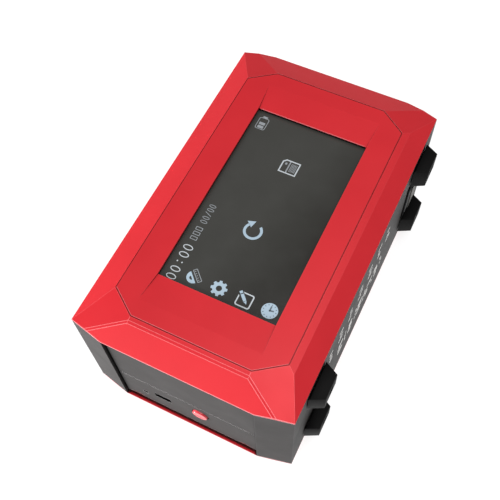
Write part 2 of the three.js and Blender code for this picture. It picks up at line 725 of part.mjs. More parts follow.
// Ink cartridge seen along Y: a tall body that steps in to the snout carrying the nozzles.
function printCartridge() {
  const { back, front, z0, z1, y0, y1, face } = cartridge;
  const shoulder = front - 10;
  const body = prismAlongY([
    [back + 4, z0], [shoulder, z0], [front, z0 + 16], [front, z1 - 14], [front - 6, z1 - 6],
    [shoulder, z1], [back + 4, z1], [back, z1 - 4], [back, z0 + 4],
  ], y0, y1);
  const grip = { pitch: 5, width: 2, depth: 0.9, bottom: 24 };
  const grips = [0, 1, 2, 3, 4].map((i) => block(
    back - 1, back + grip.depth, y0 + 3.3, y1 - 3.3,
    grip.bottom + grip.pitch * i, grip.bottom + grip.width + grip.pitch * i,
  ));
  return subtractAll(body.add(block(front - 1, face, snout.y0, snout.y1, snout.z0, snout.z1)), grips);
}

function nozzlePlate() {
  const x = cartridge.face + 0.1;
  return block(x, x + 0.4, 54.5, 64, snout.z0 + 1, snout.z1 - 1);
}

// Rubber frame that fills the space between the side shell's window and the snout.
function nozzleGasket() {
  const w = nozzleWindow;
  const room = 0.4;
  const frame = block(47.9, halfWidth + 0.6, w.y0 + gap, w.y1 - gap, w.z0 + gap, w.z1 - gap);
  return frame.subtract(block(
    40, 60, snout.y0 - room, snout.y1 + room, snout.z0 - room, snout.z1 + room,
  ));
}

const cradle = { x0: -16, x1: 44.5, y0: 42.4, y1: 44, wall: 1.4, bottom: 4.6 };

// The holder round the cartridge: a back wall with the contacts, a floor, a roof and a cheek.
function cartridgeCradle() {
  const floorZ = [cradle.bottom, cartridge.z0 - gap];
  const roofZ = [cartridge.z1 + gap, cartridge.z1 + 1.8];
  const back = block(cradle.x0, cradle.x1, cradle.y0, cradle.y1, floorZ[0], roofZ[1]);
  const decks = [floorZ, roofZ].map((z) => block(cradle.x0, 36, cradle.y0, cartridge.y1, ...z));
  const cheek = block(
    cradle.x0, cradle.x0 + cradle.wall, cradle.y0, cartridge.y0 + 3, floorZ[0], roofZ[1],
  );
  const flexSlot = block(0, 16, cradle.y0 - 2, cradle.y1 + 2, 12, 16);
  const screwRoom = block(34, 45, cradle.y0 - 2, 48, roofZ[0] - gap, 66);
  return subtractAll(union([back, ...decks, cheek]), [flexSlot, screwRoom]);
}

function contactBoard() {
  const y = cradle.y1 + gap;
  const slab = block(18, 40, y, y + 1.2, 20, 50);
  const pin = { r: 0.5, length: 1.2, x: 23, z: 28, pitchX: 3.5, pitchZ: 7 };
  const pins = [0, 1, 2, 3, 4].flatMap((i) => [0, 1, 2].map((j) => (
    rod(pin.r, [pin.x + pin.pitchX * i, y + 0.9, pin.z + pin.pitchZ * j], Y, pin.length, 8)
  )));
  return union([slab, ...pins]);
}

// From the main board's edge down and through the cradle's slot to the contact board.
function contactFlex() {
  const film = 0.4;
  const boardEdge = 38.4;
  const drop = 41.6;
  const far = 45;
  const top = 48;
  const low = 14.2;
  return prismAlongX([
    [boardEdge, top], [drop, top], [drop, low], [far + film, low], [far + film, 19.6], [far, 19.6],
    [far, low + film], [drop + film, low + film], [drop + film, top + film], [boardEdge, top + film],
  ], 2, 14);
}

// ---- Feet ----------------------------------------------------------------------------------

const footScrew = { headR: 2.2, headH: 1.4, shankR: 1, length: 6, room: 2.6, sunk: 2.2, proud: 0.6 };

// A rubber foot: a block with a sloping end on each side, rounded edges and a sunken screw.
function footBlock(y, z) {
  const root = halfWidth + 0.1;
  const tip = halfWidth + foot.height;
  const round = 0.8;
  const outline = shapeOf([
    [root + round, y - foot.base + round], [tip - round, y - foot.tip + round * 0.6],
    [tip - round, y + foot.tip - round * 0.6], [root + round, y + foot.base - round],
  ]);
  const geometry = new THREE.ExtrudeGeometry(outline, {
    depth: foot.thickness - 2 * round,
    bevelThickness: round,
    bevelSize: round,
    bevelSegments: 2,
    curveSegments: 2,
  });
  geometry.translate(0, 0, z + round);
  const centre = z + foot.thickness / 2;
  return solid(geometry)
    .subtract(rod(footScrew.room, [tip - footScrew.sunk, y, centre], X, 5))
    .subtract(rod(foot.pilot, [halfWidth - 2, y, centre], X, foot.height + 5));
}

// ---- Assembly ------------------------------------------------------------------------------

addPiece('front_cover', frontCover(), redPaint);
addPiece('rear_cover', rearCover(), redPaint);
addPiece('side_shell_print', printSideShell(), greyPaint);
addPiece('side_shell_hinge', hingeSideShell(), greyPaint);
addPiece('end_plate_upper', upperEndPlate(), greyPaint);
addPiece('end_plate_lower', lowerEndPlate(), greyPaint);

addPiece('cartridge_door', cartridgeDoor(), greyPaint);
addPiece('door_hinge_pin', rod(
  hingePin.r, [hinge.x, hinge.y, hingePin.bottom], Z, hingePin.length, 12,
), steel);
addPiece('door_spring', leafSpring(), steel);
addPiece('door_magnet', doorMagnet(), steel);
addPiece('magnet_keeper', magnetKeeper(), steel);

addPiece('touch_glass', touchGlass(), screenGlass);
addPiece('display_gasket', displayGasket(), foam);
addPiece('lcd_panel', block(-lcd.x, lcd.x, -lcd.y, lcd.y, lcd.bottom, lcd.top), steel);
addPiece('display_bracket', displayBracket(), aluminium);
addPiece('display_flex', displayFlex(), flexAmber);

addPiece('chassis_plate', chassisPlate(), aluminium);
addPiece('main_board', mainBoard(), circuitGreen);
addPiece('buzzer', buzzer(), blackPlastic);
addPiece('input_board', inputBoard(), circuitGreen);
addPiece('usb_port', usbPort(), steel);
addPiece('tact_switch', tactSwitch(), blackPlastic);
addPiece('power_button', powerButton(), redPaint);
addPiece('status_light', statusLight(), milkyPlastic);

addPiece('battery_tray', batteryTray(), blackPlastic);
[0, 1, 2].forEach((i) => addPiece(`battery_cell_${i + 1}`, batteryCell(i), cellWrap));

addPiece('print_cartridge', printCartridge(), blackPlastic);
addPiece('nozzle_plate', nozzlePlate(), steel);
addPiece('nozzle_gasket', nozzleGasket(), blackRubber);
addPiece('cartridge_cradle', cartridgeCradle(), blackPlastic);
addPiece('contact_board', contactBoard(), circuitGreen);
addPiece('contact_flex', contactFlex(), flexAmber);

const caseScrew = { headR: 2.7, headH: 2, shankR: 1.5, length: 59 };
const smallScrew = { headR: 2, headH: 1.2, shankR: 1, length: 4 };
const boardScrew = { headR: 2, headH: 1.3, shankR: 1.1, length: 6 };

corners.forEach(([sx, sy], i) => {
  const head = [sx * column.x, sy * column.y, screwSeat.bottom];
  addPiece(`case_screw_${i + 1}`, screw(caseScrew, head, Z), steel);
});

corners.forEach(([sx, sy], i) => {
  const head = [sx * bracketScrew.x, sy * bracketScrew.y, bracket.z0 - smallScrew.headH - 0.2];
  addPiece(`bracket_screw_${i + 1}`, screw(smallScrew, head, Z), steel);
});

standoffPoints.forEach(([x, y], i) => {
  const head = [x, y, board.top + boardScrew.headH + gap];
  addPiece(`board_standoff_${i + 1}`, hexStandoff(x, y), steel);
  addPiece(`board_screw_${i + 1}`, screw(boardScrew, head, Z.clone().negate()), steel);
});

feet.forEach(({ y, z }, i) => {
  const head = [halfWidth + foot.height - footScrew.proud, y, z + foot.thickness / 2];
  addPiece(`foot_${i + 1}`, footBlock(y, z), blackRubber);
  addPiece(`foot_screw_${i + 1}`, screw(footScrew, head, X.clone().negate()), steel);
});

export default group;
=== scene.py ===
"""Studio scene of a portable date code inkjet printer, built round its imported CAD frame."""

import json
import math
import random

import bpy
from mathutils import Matrix, Vector


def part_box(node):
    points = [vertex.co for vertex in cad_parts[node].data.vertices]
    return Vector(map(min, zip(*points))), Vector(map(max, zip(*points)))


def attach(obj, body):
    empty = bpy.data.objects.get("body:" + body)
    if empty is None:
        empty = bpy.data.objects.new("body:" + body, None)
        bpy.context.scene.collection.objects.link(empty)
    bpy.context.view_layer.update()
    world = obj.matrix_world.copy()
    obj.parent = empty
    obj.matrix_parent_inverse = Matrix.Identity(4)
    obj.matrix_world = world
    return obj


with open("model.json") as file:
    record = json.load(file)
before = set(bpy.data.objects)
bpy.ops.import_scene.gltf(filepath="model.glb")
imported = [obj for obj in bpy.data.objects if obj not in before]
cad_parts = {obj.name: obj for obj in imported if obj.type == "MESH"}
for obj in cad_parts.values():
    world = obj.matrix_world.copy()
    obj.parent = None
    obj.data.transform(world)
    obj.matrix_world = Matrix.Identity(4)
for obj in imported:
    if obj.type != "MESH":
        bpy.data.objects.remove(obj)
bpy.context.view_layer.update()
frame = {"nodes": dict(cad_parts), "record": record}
nodes = frame["nodes"]
MM = 0.001
INK_LIFT = 0.03 * MM  # printed shapes stand this far above their surface
INK_THICK = 0.03 * MM

GLINT_RADIUS = 0.32 * MM  # how far from an edge the painted highlight line reaches
GLINT_STEEPNESS = 2000.0  # a high value makes even a shallow crease show its line
GLINT_NEAR_GAIN = 12.0
GLINT_ELSEWHERE = 0.06
# The painted recess shade and the highlight's open test look this far for nearby surfaces.
CREVICE_REACH = 2.0 * MM
OPEN_ENOUGH = 0.92  # ambient occlusion above this counts as open surface


# ---- Materials -----------------------------------------------------------------------------

def new_material(name):
    """The material, its node tree and its Principled shader."""
    material = bpy.data.materials.new(name)
    material.use_nodes = True
    shader = material.node_tree.nodes["Principled BSDF"]
    return material, material.node_tree, shader


def object_noise(tree, scale, detail=4.0, roughness=0.55):
    """A noise pattern fixed to the object's own coordinates, in cycles per metre."""
    place = tree.nodes.new("ShaderNodeTexCoord")
    noise = tree.nodes.new("ShaderNodeTexNoise")
    noise.inputs["Scale"].default_value = scale
    noise.inputs["Detail"].default_value = detail
    noise.inputs["Roughness"].default_value = roughness
    tree.links.new(place.outputs["Object"], noise.inputs["Vector"])
    return noise


def mixed_colour(tree, factor, dark, light):
    """A colour between dark and light that follows the factor's middle range."""
    ramp = tree.nodes.new("ShaderNodeValToRGB")
    ramp.color_ramp.elements[0].position = 0.3
    ramp.color_ramp.elements[1].position = 0.7
    ramp.color_ramp.elements[0].color = (*dark, 1)
    ramp.color_ramp.elements[1].color = (*light, 1)
    tree.links.new(factor, ramp.inputs["Fac"])
    return ramp.outputs["Color"]


def remapped(tree, factor, low, high):
    """The middle half of a noise value, spread from low to high."""
    reach = tree.nodes.new("ShaderNodeMapRange")
    reach.inputs["From Min"].default_value = 0.25
    reach.inputs["From Max"].default_value = 0.75
    reach.inputs["To Min"].default_value = low
    reach.inputs["To Max"].default_value = high
    tree.links.new(factor, reach.inputs["Value"])
    return reach.outputs["Result"]


def bumped(tree, shader, height, strength, distance):
    """Raises the shader's surface by a height pattern; distance is its full height."""
    bump = tree.nodes.new("ShaderNodeBump")
    bump.inputs["Strength"].default_value = strength
    bump.inputs["Distance"].default_value = distance
    tree.links.new(height, bump.inputs["Height"])
    tree.links.new(bump.outputs["Normal"], shader.inputs["Normal"])


def blended(tree, factor, first, second):
    """Mixes a colour socket towards another colour socket or fixed colour."""
    mix = tree.nodes.new("ShaderNodeMix")
    mix.data_type = "RGBA"
    tree.links.new(factor, mix.inputs["Factor"])
    tree.links.new(first, mix.inputs["A"])
    if isinstance(second, tuple):
        mix.inputs["B"].default_value = (*second, 1)
    else:
        tree.links.new(second, mix.inputs["B"])
    return mix.outputs["Result"]


def math_node(tree, operation, *values):
    """A sum on sockets or numbers, kept between 0 and 1."""
    node = tree.nodes.new("ShaderNodeMath")
    node.operation = operation
    node.use_clamp = True
    for socket, value in zip(node.inputs, values):
        if isinstance(value, (int, float)):
            socket.default_value = value
        else:
            tree.links.new(value, socket)
    return node.outputs["Value"]


def edge_glint(tree):
    """Painted highlight mask: high on edges that lean up and towards the near end, 0 on open faces."""
    rounded = tree.nodes.new("ShaderNodeBevel")
    rounded.samples = 8
    rounded.inputs["Radius"].default_value = GLINT_RADIUS
    face = tree.nodes.new("ShaderNodeNewGeometry")
    turn = tree.nodes.new("ShaderNodeVectorMath")
    turn.operation = "DOT_PRODUCT"
    tree.links.new(rounded.outputs["Normal"], turn.inputs[0])
    tree.links.new(face.outputs["True Normal"], turn.inputs[1])
    bend = math_node(tree, "SUBTRACT", 0.9999, turn.outputs["Value"])
    sharp = math_node(tree, "MULTIPLY", bend, GLINT_STEEPNESS)
    parts = tree.nodes.new("ShaderNodeSeparateXYZ")
    tree.links.new(rounded.outputs["Normal"], parts.inputs["Vector"])
    near = math_node(tree, "MULTIPLY", parts.outputs["Y"], -1.0)
    upright = math_node(tree, "ABSOLUTE", parts.outputs["Z"])
    lean = math_node(tree, "MULTIPLY", math_node(tree, "MULTIPLY", near, near), upright)
    weight = math_node(tree, "MULTIPLY_ADD", lean, GLINT_NEAR_GAIN, GLINT_ELSEWHERE)
    return math_node(tree, "MULTIPLY", sharp, weight)


def openness(tree, reach):
    """1 on open surface, lower where something stands within reach of it."""
    occlusion = tree.nodes.new("ShaderNodeAmbientOcclusion")
    occlusion.samples = 8
    occlusion.inputs["Distance"].default_value = reach
    return occlusion.outputs["AO"]


def painted_highlight_and_shade(tree, colour, highlight_colour, highlight_strength, painted_shade_colour, painted_shade_strength):
    """Painted highlights on outward edges and painted shade in recesses."""
    open_here = openness(tree, CREVICE_REACH)
    outward = math_node(tree, "MULTIPLY_ADD", open_here, 14.0, -13.0)  # only where nothing is near
    # Painted highlight: open edges are lightened towards the highlight colour.
    lit_edge = math_node(tree, "MULTIPLY", edge_glint(tree), outward)
    painted_highlight = math_node(tree, "MULTIPLY", lit_edge, highlight_strength)
    edged = blended(tree, painted_highlight, colour, highlight_colour)
    # Painted shade: hollows found by ambient occlusion are darkened towards the shade colour.
    depth = math_node(tree, "SUBTRACT", OPEN_ENOUGH, open_here)
    painted_shade = math_node(tree, "MULTIPLY", depth, painted_shade_strength)
    return blended(tree, painted_shade, edged, painted_shade_colour)


def surface(name, colour, spread, roughness, metallic=0.0, grain=2500.0, grain_depth=0.01 * MM,
            grain_strength=0.3, coat=0.0, coat_roughness=0.2, specular=0.5, edge=None,
            highlight_strength=0.6, shade_colour=(0.002, 0.002, 0.002), shade_strength=1.0):
    """A finish whose colour and gloss wander a little, over a fine grain; with an edge colour it also
    gets painted edge highlights and painted shade in its recesses.
    """
    material, tree, shader = new_material(name)
    patches = object_noise(tree, 28.0)
    dark = tuple(max(0.0, c * (1 - spread)) for c in colour)
    light = tuple(min(1.0, c * (1 + spread)) for c in colour)
    base = mixed_colour(tree, patches.outputs["Fac"], dark, light)
    if edge is not None:
        base = painted_highlight_and_shade(tree, base, edge, highlight_strength, shade_colour, shade_strength)
    tree.links.new(base, shader.inputs["Base Color"])
    smudges = object_noise(tree, 60.0, detail=6.0)
    gloss = remapped(tree, smudges.outputs["Fac"], roughness - 0.05, roughness + 0.05)
    tree.links.new(gloss, shader.inputs["Roughness"])
    shader.inputs["Metallic"].default_value = metallic
    shader.inputs["Specular IOR Level"].default_value = specular
    shader.inputs["Coat Weight"].default_value = coat
    shader.inputs["Coat Roughness"].default_value = coat_roughness
    fine = object_noise(tree, grain, detail=2.0)
    bumped(tree, shader, fine.outputs["Fac"], grain_strength, grain_depth)
    return material


def brushed_metal(name, colour, roughness, stretch):
    """Metal with fine lines along one axis; stretch squeezes the noise across them."""
    material, tree, shader = new_material(name)
    place = tree.nodes.new("ShaderNodeTexCoord")
    squeeze = tree.nodes.new("ShaderNodeMapping")
    squeeze.inputs["Scale"].default_value = stretch
    lines = tree.nodes.new("ShaderNodeTexNoise")
    lines.inputs["Scale"].default_value = 900.0
    lines.inputs["Detail"].default_value = 3.0
    tree.links.new(place.outputs["Object"], squeeze.inputs["Vector"])
    tree.links.new(squeeze.outputs["Vector"], lines.inputs["Vector"])
    dark = tuple(c * 0.88 for c in colour)
    tree.links.new(mixed_colour(tree, lines.outputs["Fac"], dark, colour), shader.inputs["Base Color"])
    gloss = remapped(tree, lines.outputs["Fac"], roughness - 0.06, roughness + 0.08)
    tree.links.new(gloss, shader.inputs["Roughness"])
    shader.inputs["Metallic"].default_value = 1.0
    bumped(tree, shader, lines.outputs["Fac"], 0.2, 0.005 * MM)
    return material


def circuit_board(name):
    """Green solder mask with paler copper tracks running under it."""
    material, tree, shader = new_material(name)
    place = tree.nodes.new("ShaderNodeTexCoord")
    tracks = tree.nodes.new("ShaderNodeTexBrick")
    tracks.inputs["Scale"].default_value = 160.0
    tracks.inputs["Mortar Size"].default_value = 0.03
    tracks.inputs["Color1"].default_value = (0.008, 0.075, 0.035, 1)
    tracks.inputs["Color2"].default_value = (0.010, 0.090, 0.042, 1)
    tracks.inputs["Mortar"].default_value = (0.030, 0.190, 0.090, 1)
    tree.links.new(place.outputs["Object"], tracks.inputs["Vector"])
    tree.links.new(tracks.outputs["Color"], shader.inputs["Base Color"])
    gloss = object_noise(tree, 220.0)
    tree.links.new(remapped(tree, gloss.outputs["Fac"], 0.3, 0.45), shader.inputs["Roughness"])
    bumped(tree, shader, tracks.outputs["Fac"], 0.3, 0.02 * MM)
    return material


def red_paint(name, shade_colour, shade_strength):
    """Satin red with painted edge highlights; shade_colour is the painted shade that its recesses fall
    to.
    """
    return surface(name, (0.60, 0.017, 0.025), 0.04, 0.40, metallic=0.15, specular=0.3, grain=4200.0,
                   edge=(0.95, 0.30, 0.32), highlight_strength=0.8, shade_colour=shade_colour, shade_strength=shade_strength)


# The red paint in two copies: the second is painted almost black in its recesses, as painted shade.
RED = red_paint("red_satin_paint", shade_colour=(0.26, 0.005, 0.008), shade_strength=2.5)
RED_DEEP_SHADE = red_paint("red_satin_paint_deep_shade", shade_colour=(0.02, 0.001, 0.001), shade_strength=6.0)
GREY = surface("grey_satin_paint", (0.046, 0.043, 0.0425), 0.06, 0.5, specular=0.06,
               grain=3800.0, edge=(0.46, 0.44, 0.44), highlight_strength=0.85, shade_strength=3.0)
FOOT_BLACK = surface("foot_rubber", (0.0022, 0.0020, 0.0020), 0.3, 0.6, grain=1800.0,
                     grain_depth=0.03 * MM, grain_strength=0.5, specular=0.10)
BLACK_PLASTIC = surface("black_moulded_plastic", (0.014, 0.014, 0.015), 0.2, 0.5, grain=2600.0,
                        grain_depth=0.02 * MM)
FOAM = surface("black_foam", (0.003, 0.003, 0.003), 0.3, 0.9, grain=1400.0, grain_depth=0.06 * MM,
               grain_strength=0.8, specular=0.1)
BUTTON_RED = surface("button_red", (0.66, 0.035, 0.05), 0.04, 0.28, coat=0.3, coat_roughness=0.1)


def screen_glass(name):
    """Dark glass with a painted reflection: its colour is a little brighter towards one corner, with a
    random mottle.
    """
    material, tree, shader = new_material(name)
    place = tree.nodes.new("ShaderNodeTexCoord")
    parts = tree.nodes.new("ShaderNodeSeparateXYZ")
    tree.links.new(place.outputs["Object"], parts.inputs["Vector"])
    half_width, half_length = 0.027, 0.048
    # Painted reflection: the colour ramps across and along the glass.
    across = math_node(tree, "MULTIPLY_ADD", parts.outputs["X"], -0.45 / half_width, 0.5)
    along = math_node(tree, "MULTIPLY_ADD", parts.outputs["Y"], 0.25 / half_length, 0.5)
    painted_reflection = math_node(tree, "MULTIPLY", math_node(tree, "ADD", across, along), 0.5)
    cloud = object_noise(tree, 45.0)
    reflection_and_mottle = math_node(tree, "ADD", painted_reflection, math_node(tree, "MULTIPLY", cloud.outputs["Fac"], 0.12))
    colour = mixed_colour(tree, reflection_and_mottle, (0.0205, 0.0195, 0.0165), (0.060, 0.060, 0.055))
    tree.links.new(colour, shader.inputs["Base Color"])
    smear = object_noise(tree, 90.0, detail=6.0)
    tree.links.new(remapped(tree, smear.outputs["Fac"], 0.16, 0.26), shader.inputs["Roughness"])
    shader.inputs["Specular IOR Level"].default_value = 0.35
    return material


SCREEN = screen_glass("screen_glass")
STEEL = brushed_metal("brushed_steel", (0.58, 0.58, 0.57), 0.32, (1.0, 0.06, 1.0))
ALUMINIUM = brushed_metal("sheet_aluminium", (0.70, 0.71, 0.72), 0.38, (0.06, 1.0, 1.0))
# Painted shade: the port shell is coloured near black so that its opening reads as the shade inside
# it.
PORT_SHELL = surface("port_shell", (0.002, 0.002, 0.002), 0.1, 0.4, specular=0.05)
NOZZLE_FACE = brushed_metal("nozzle_face", (0.10, 0.095, 0.085), 0.5, (1.0, 1.0, 0.06))
# Painted shade: the status light's lens is coloured near black, standing for the shade in its recessed
# hole.
LENS_PAINTED_SHADE = surface("lens_painted_shade", (0.001, 0.001, 0.0012), 0.2, 0.4, specular=0.05)
BOARD = circuit_board("circuit_board")
CELL_WRAP = surface("cell_wrap", (0.025, 0.105, 0.34), 0.06, 0.3, coat=0.3)
FLEX = surface("flex_cable", (0.40, 0.15, 0.02), 0.12, 0.36, coat=0.2)
LIGHT_PIPE = surface("light_pipe", (0.70, 0.74, 0.70), 0.04, 0.25, coat=0.2)
ICON = surface("screen_icon_light", (0.36, 0.47, 0.56), 0.10, 0.4)
ICON_LINE = surface("screen_icon_line", (0.50, 0.54, 0.57), 0.06, 0.4)
ICON_FAINT = surface("screen_icon_faint", (0.27, 0.29, 0.31), 0.08, 0.4)
ICON_DARK = surface("screen_icon_dark", (0.09, 0.12, 0.15), 0.08, 0.4)
INK = surface("side_ink", (0.90, 0.89, 0.87), 0.08, 0.6)

NODE_MATERIALS = {
    "red_paint": RED,
    "grey_paint": GREY,
    "foot_black": FOOT_BLACK,
    "black_plastic": BLACK_PLASTIC,
    "button_red": BUTTON_RED,
    "screen_glass": SCREEN,
    "steel": STEEL,
    "aluminium": ALUMINIUM,
    "circuit_board": BOARD,
    "cell_wrap": CELL_WRAP,
    "foam": FOAM,
    "flex": FLEX,
    "light_plastic": LIGHT_PIPE,
}
OWN_MATERIALS = {  # pieces whose finish differs from the rest of their slot
    "rear_cover": RED_DEEP_SHADE,  # a copy with much darker painted shade, for its sill in the gap under the end plates
    "usb_port": PORT_SHELL,
    "status_light": LENS_PAINTED_SHADE,
    "nozzle_plate": NOZZLE_FACE,
}


# ---- Finish of the CAD nodes ---------------------------------------------------------------

BEVELS = {  # bevel width of the pieces with crisp machined edges, in mm
    "front_cover": 0.28, "rear_cover": 0.28, "side_shell_print": 0.2, "side_shell_hinge": 0.2,
    "end_plate_upper": 0.3, "end_plate_lower": 0.3, "cartridge_door": 0.3,
    "print_cartridge": 0.5, "battery_tray": 0.3, "cartridge_cradle": 0.3, "chassis_plate": 0.2,
    "display_bracket": 0.15, "main_board": 0.12, "touch_glass": 0.15, "lcd_panel": 0.2,
}
FLAT_SHADED = set(BEVELS) - {"cartridge_door"}  # pieces made of flat faces only
CREASE_ANGLE = math.radians(9)
SMOOTH_ANGLE = math.radians(35)


def smooth_by_angle():
    """A modifier group that shades smooth, except over edges sharper than SMOOTH_ANGLE."""
    group = bpy.data.node_groups.new("smooth_by_angle", "GeometryNodeTree")
    group.interface.new_socket("Geometry", in_out="INPUT", socket_type="NodeSocketGeometry")
    group.interface.new_socket("Geometry", in_out="OUTPUT", socket_type="NodeSocketGeometry")
    source = group.nodes.new("NodeGroupInput")
    result = group.nodes.new("NodeGroupOutput")
    forget = group.nodes.new("GeometryNodeRemoveAttribute")
    forget.inputs["Name"].default_value = "custom_normal"
    faces = group.nodes.new("GeometryNodeSetShadeSmooth")
    faces.domain = "FACE"
    edges = group.nodes.new("GeometryNodeSetShadeSmooth")
    edges.domain = "EDGE"
    edges.inputs["Shade Smooth"].default_value = False
    angle = group.nodes.new("GeometryNodeInputMeshEdgeAngle")
    sharp = group.nodes.new("FunctionNodeCompare")
    sharp.data_type = "FLOAT"
    sharp.operation = "GREATER_THAN"
    sharp.inputs["B"].default_value = SMOOTH_ANGLE
    group.links.new(source.outputs[0], forget.inputs["Geometry"])
    group.links.new(forget.outputs["Geometry"], faces.inputs["Geometry"])
    group.links.new(faces.outputs["Geometry"], edges.inputs["Geometry"])
    group.links.new(angle.outputs["Unsigned Angle"], sharp.inputs["A"])
    group.links.new(sharp.outputs["Result"], edges.inputs["Selection"])
    group.links.new(edges.outputs["Geometry"], result.inputs[0])
    return group


SMOOTHING = smooth_by_angle()


def finish_node(name, node, slot):
    """Gives a CAD node its material, clean flat faces and softened edges."""
    node.data.materials.clear()
    node.data.materials.append(OWN_MATERIALS.get(name, NODE_MATERIALS[slot]))
    weld = node.modifiers.new("weld", "WELD")
    weld.merge_threshold = 0.002 * MM
    merge = node.modifiers.new("merge_flat_faces", "DECIMATE")
    merge.decimate_type = "DISSOLVE"
    merge.angle_limit = math.radians(0.5)
    if name in BEVELS:
        bevel = node.modifiers.new("edge", "BEVEL")
        bevel.width = BEVELS[name] * MM
        bevel.segments = 2
        bevel.limit_method = "ANGLE"
        bevel.angle_limit = CREASE_ANGLE
        bevel.use_clamp_overlap = True
    if name not in FLAT_SHADED:
        smooth = node.modifiers.new("smooth_by_angle", "NODES")
        smooth.node_group = SMOOTHING
    if name in BEVELS and name not in FLAT_SHADED:
        shading = node.modifiers.new("flat_face_shading", "WEIGHTED_NORMAL")
        shading.keep_sharp = True
        shading.weight = 100


def finish_nodes():
    """Finishes every CAD node."""
    for part in frame["record"]["subparts"]:
        finish_node(part["node"], nodes[part["node"]], part["material_slot"])


# ---- Building helpers ----------------------------------------------------------------------

def add_object(name, mesh, material, body):
    """A piece of one material that rides on a body."""
    mesh.materials.clear()
    mesh.materials.append(material)
    piece = bpy.data.objects.new(name, mesh)
    bpy.context.scene.collection.objects.link(piece)
    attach(piece, body)


def flat_mesh(name, outlines, thick):
    """A thin slab from closed 2-D outlines; an outline inside another is a hole."""
    curve = bpy.data.curves.new(name, "CURVE")
    curve.dimensions = "2D"
    curve.fill_mode = "BOTH"
    curve.extrude = thick / 2
    for outline in outlines:
        spline = curve.splines.new("POLY")
        spline.points.add(len(outline) - 1)
        for point, (u, v) in zip(spline.points, outline):
            point.co = (u, v, 0, 1)
        spline.use_cyclic_u = True
    holder = bpy.data.objects.new(name + "_curve", curve)
    bpy.context.scene.collection.objects.link(holder)
    bpy.context.view_layer.update()
    filled = holder.evaluated_get(bpy.context.evaluated_depsgraph_get())
    mesh = bpy.data.meshes.new_from_object(filled)
    bpy.data.objects.remove(holder)
    bpy.data.curves.remove(curve)
    return mesh


def arc(cx, cy, rx, ry, start=0.0, end=360.0, count=40):
    """Points along part of an ellipse, angles in degrees; a full turn leaves out its repeated end."""
    full = abs(end - start) >= 360.0
    steps = count if full else count - 1
    angles = [math.radians(start + (end - start) * i / steps) for i in range(count)]
    return [(cx + rx * math.cos(a), cy + ry * math.sin(a)) for a in angles]


def rounded_box(cx, cy, w, h, r):
    """A rectangle with rounded corners."""
    points = []
    for sx, sy, start in ((1, 1, 0), (-1, 1, 90), (-1, -1, 180), (1, -1, 270)):
        points += arc(cx + sx * (w / 2 - r), cy + sy * (h / 2 - r), r, r, start, start + 90, 6)
    return points


def bar(x0, y0, x1, y1, width):
    """A straight stroke with square ends."""
    along = Vector((x1 - x0, y1 - y0)).normalized() * width / 2
    side = Vector((-along.y, along.x))
    return [(x0 + side.x, y0 + side.y), (x0 - side.x, y0 - side.y),
            (x1 - side.x, y1 - side.y), (x1 + side.x, y1 + side.y)]


# ---- Screen picture ------------------------------------------------------------------------
# The picture is read from the print side: its left-to-right runs along +Y, its top faces -X.

glass_low, glass_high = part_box("touch_glass")
SCREEN_Z = glass_high[2] + INK_LIFT
LAYER_STEP = 1.5 * INK_THICK  # keeps stacked shapes apart

BATTERY_AT = (-21.9, 41.3)  # icon centres, x and y in mm
MEASURE_AT = (-12.8, -42.6)
GEAR_AT = (-1.1, -43.0)
EDIT_AT = (10.8, -43.3)
CLOCK_AT = (22.1, -43.2)
REFRESH_AT = (-0.4, -12.5)
CARD_AT = (0.1, 23.8)


def add_icon(name, outlines, place, material, layer=0, turn=0.0):
    """Closed outlines in mm, u reading along +Y and v upright towards -X, turned and laid flat."""
    x, y = place
    c, s = math.cos(math.radians(turn)), math.sin(math.radians(turn))
    points = [
        [((x - u * s - v * c) * MM, (y + u * c - v * s) * MM) for u, v in outline]
        for outline in outlines
    ]
    mesh = flat_mesh(name, points, INK_THICK)
    mesh.transform(Matrix.Translation((0, 0, SCREEN_Z + layer * LAYER_STEP)))
    add_object(name, mesh, material, "case")


def zero(cx, cy, w, h, stroke):
    """The digit 0 as a ring."""
    outer = arc(cx, cy, w / 2, h / 2, count=28)
    inner = arc(cx, cy, w / 2 - stroke, h / 2 - stroke, count=28)
    return [outer, inner]


def clock_readout():
    """Four zeros with a colon."""
    pitch = 3.75
    outlines = []
    for cell in (0, 1, 3, 4):
        outlines += zero(cell * pitch, 0, 2.6, 4.6, 0.42)
    for v in (-1.1, 1.1):
        outlines.append(arc(2 * pitch, v, 0.35, 0.35, count=10))
    add_icon("clock_digits", outlines, (-21.8, -46.4), ICON_LINE)


def date_readout():
    """Three blank boxes, then four zeros with a slash."""
    pitch = 2.15
    blank_pitch = 2.5
    outlines = []
    for cell in (0, 1, 3, 4):
        outlines += zero(cell * pitch, 0, 1.5, 3.3, 0.28)
    outlines.append(bar(2 * pitch - 0.7, -1.6, 2 * pitch + 0.7, 1.6, 0.28))
    add_icon("date_digits", outlines, (-21.7, -17.4), ICON_FAINT)
    blanks = []
    for cell in range(3):
        u = cell * blank_pitch
        blanks += [rounded_box(u, 0, 1.7, 3.2, 0.2), rounded_box(u, 0, 1.1, 2.6, 0.1)]
    add_icon("day_blanks", blanks, (-21.8, -26.3), ICON_FAINT)


def battery_icon():
    shell = [rounded_box(0, 0, 6.8, 4.9, 0.9), rounded_box(0, 0, 6.2, 4.3, 0.7)]
    nub = [rounded_box(3.9, 0, 0.9, 2.4, 0.4)]
    cells = [rounded_box(u, 0, 1.5, 2.9, 0.2) for u in (-2.0, 0.0)]
    add_icon("battery_symbol", shell + nub + cells, BATTERY_AT, ICON_FAINT)


